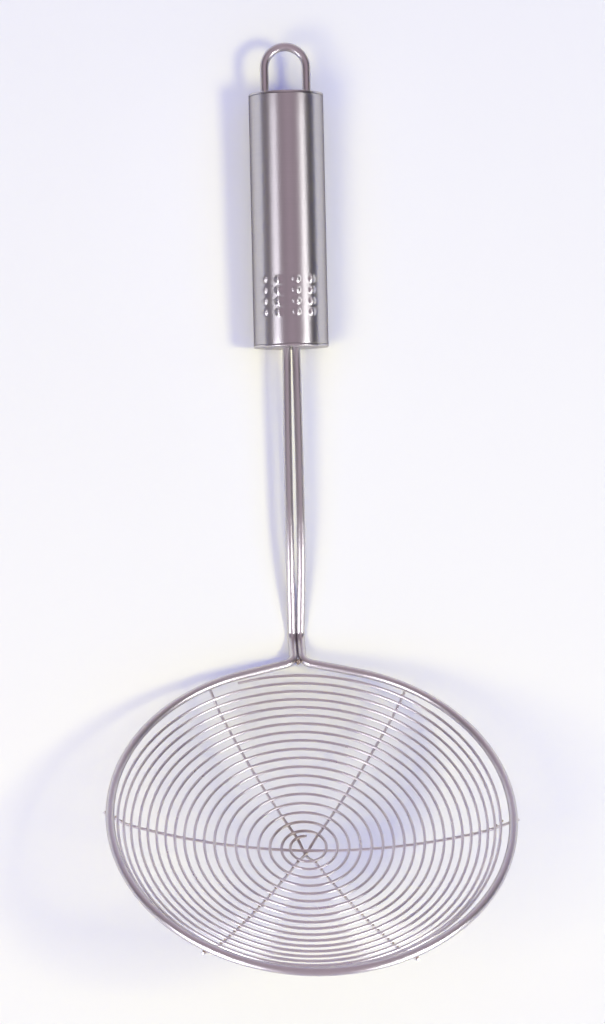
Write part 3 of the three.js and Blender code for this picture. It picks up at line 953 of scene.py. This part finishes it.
class SKIMMER_OT_stage(bpy.types.Operator):
    """Set the table, the lights and the camera"""

    bl_idname = "skimmer.stage"
    bl_label = "Stage"

    def execute(self, context):
        scene = context.scene
        settings = scene.skimmer_stage
        self.table(scene)
        self.surroundings(scene)
        self.lamp(scene, "key_right", place=(0.488, -0.121, 1.034), aim=(0, 0, 0), size=(0.2, 0.2),
                  power=settings.key_power, tint=(1.0, 0.96, 0.32), glossy=False)
        self.lamp(scene, "key_left", place=(-0.497, -0.298, 0.993), aim=(0, 0, 0), size=(0.42, 0.42),
                  power=settings.key_power, tint=(1.0, 0.92, 0.2), glossy=False)
        self.lamp(scene, "fill_overhead", place=(0, 0, 2), aim=(0, 0, 0), size=(5, 5),
                  power=settings.fill_power, tint=(0.07, 0.24, 1.0), glossy=False)
        self.lamp(scene, "softbox_right", place=(0.474, -0.57, 0.368), aim=(0, -0.57, 0), size=(0.8, 0.18),
                  power=settings.soft_power, tint=(1.0, 1.0, 1.0), diffuse=False)
        self.lamp(scene, "softbox_left", place=(-0.473, -0.575, 0.369), aim=(0, -0.575, 0), size=(0.75, 0.25),
                  power=settings.soft_power, tint=(0.94, 0.93, 1.0), diffuse=False)
        self.camera(scene, settings)
        scene.view_settings.view_transform = "Standard"
        return {"FINISHED"}

    def table(self, scene):
        """A plain round table top."""
        top = bmesh.new()
        bmesh.ops.create_circle(top, cap_ends=True, segments=96, radius=TABLE_RADIUS)
        bmesh.ops.recalc_face_normals(top, faces=top.faces)
        mesh = finished(top, "table_top", Matrix.Translation((0, 0, -TABLE_SINK)))
        mesh.materials.append(made_of(matte_white_table, scene.skimmer_finishes))
        floor = bpy.data.objects.new("table_top", mesh)
        scene.collection.objects.link(floor)

    def surroundings(self, scene):
        """A dim studio room: mauve overhead, dimmer on the left, darkest on the right and lighter low down."""
        world = bpy.data.worlds.new("dim_studio_room")
        world.use_nodes = True
        tree = world.node_tree
        tree.nodes.clear()
        view = add(tree, "ShaderNodeTexCoord", {})
        parts = add(tree, "ShaderNodeSeparateXYZ", {}, [("Vector", view.outputs["Generated"])])
        across = add(tree, "ShaderNodeMapRange", {"From Min": -1.0, "From Max": 1.0},
                     [("Value", parts.outputs["X"])])
        walls = add(tree, "ShaderNodeValToRGB", {}, [("Fac", across.outputs["Result"])])
        walls.color_ramp.elements[0].color = (0.13, 0.11, 0.125, 1)
        walls.color_ramp.elements[1].position = 0.95
        walls.color_ramp.elements[1].color = (0.02, 0.018, 0.02, 1)
        walls.color_ramp.elements.new(0.5).color = (0.5, 0.4, 0.47, 1)
        walls.color_ramp.elements.new(0.8).color = (0.33, 0.265, 0.31, 1)
        low = add(tree, "ShaderNodeMapRange", {"From Max": 0.6, "To Min": 1.2, "To Max": 1.0},
                  [("Value", parts.outputs["Z"])])
        glow = add(tree, "ShaderNodeBackground", {},
                   [("Color", walls.outputs["Color"]), ("Strength", low.outputs["Result"])])
        add(tree, "ShaderNodeOutputWorld", {}, [("Surface", glow.outputs["Background"])])
        scene.world = world

    def lamp(self, scene, name, place, aim, size, power, tint, glossy=True, diffuse=True):
        """Sets a rectangular lamp that faces a point on the table."""
        light = bpy.data.lights.new(name, "AREA")
        light.shape = "RECTANGLE"
        light.size, light.size_y = size
        light.energy = power
        light.color = tint
        lamp = bpy.data.objects.new(name, light)
        lamp.location = place
        lamp.rotation_euler = (Vector(place) - Vector(aim)).to_track_quat("Z", "Y").to_euler()
        lamp.visible_glossy = glossy
        lamp.visible_diffuse = diffuse
        scene.collection.objects.link(lamp)

    def camera(self, scene, settings):
        """The camera that took the photo, as far as the photo tells."""
        eye = bpy.data.cameras.new("photo_camera")
        eye.sensor_fit = "VERTICAL"
        eye.sensor_height = 36
        eye.lens = settings.lens
        eye.clip_end = 50
        camera = bpy.data.objects.new("photo_camera", eye)
        camera.location = settings.camera_place
        camera.rotation_euler = Euler(settings.camera_turn)
        scene.collection.objects.link(camera)
        scene.camera = camera


class SKIMMER_PT_panel(bpy.types.Panel):
    """The skimmer's pieces and sizes"""

    bl_idname = "SKIMMER_PT_panel"
    bl_label = "Wire Spider Skimmer"
    bl_space_type = "VIEW_3D"
    bl_region_type = "UI"
    bl_category = "Skimmer"

    def draw(self, context):
        for step in STEPS:
            self.layout.operator(step.bl_idname)
        for group in GROUPS:
            box = self.layout.box()
            for name in GROUPS[group].__annotations__:
                box.prop(getattr(context.scene, group), name)


GROUPS = {
    "skimmer_frame": SkimmerFrameSizes,
    "skimmer_mesh": SkimmerMeshSizes,
    "skimmer_handle": SkimmerHandleSizes,
    "skimmer_finishes": SkimmerFinishes,
    "skimmer_stage": SkimmerStageSettings,
}

STEPS = (
    SKIMMER_OT_frame_wire,
    SKIMMER_OT_neck_weld,
    SKIMMER_OT_spiral_wire,
    SKIMMER_OT_cross_wires,
    SKIMMER_OT_spot_welds,
    SKIMMER_OT_handle_tube,
    SKIMMER_OT_end_caps,
    SKIMMER_OT_hanging_loop,
    SKIMMER_OT_stage,
)


def register():
    for group in (*GROUPS.values(), *STEPS, SKIMMER_PT_panel):
        bpy.utils.register_class(group)
    for name, group in GROUPS.items():
        setattr(bpy.types.Scene, name, bpy.props.PointerProperty(type=group))


def unregister():
    for name in GROUPS:
        delattr(bpy.types.Scene, name)
    for group in (SKIMMER_PT_panel, *STEPS[::-1], *GROUPS.values()):
        bpy.utils.unregister_class(group)


def main():
    register()
    bpy.ops.skimmer.frame_wire()
    bpy.ops.skimmer.neck_weld()
    bpy.ops.skimmer.spiral_wire()
    bpy.ops.skimmer.cross_wires()
    bpy.ops.skimmer.spot_welds()
    bpy.ops.skimmer.handle_tube()
    bpy.ops.skimmer.end_caps()
    bpy.ops.skimmer.hanging_loop()
    bpy.ops.skimmer.stage()
    bpy.context.view_layer.update()


if __name__ == "__main__":
    main()
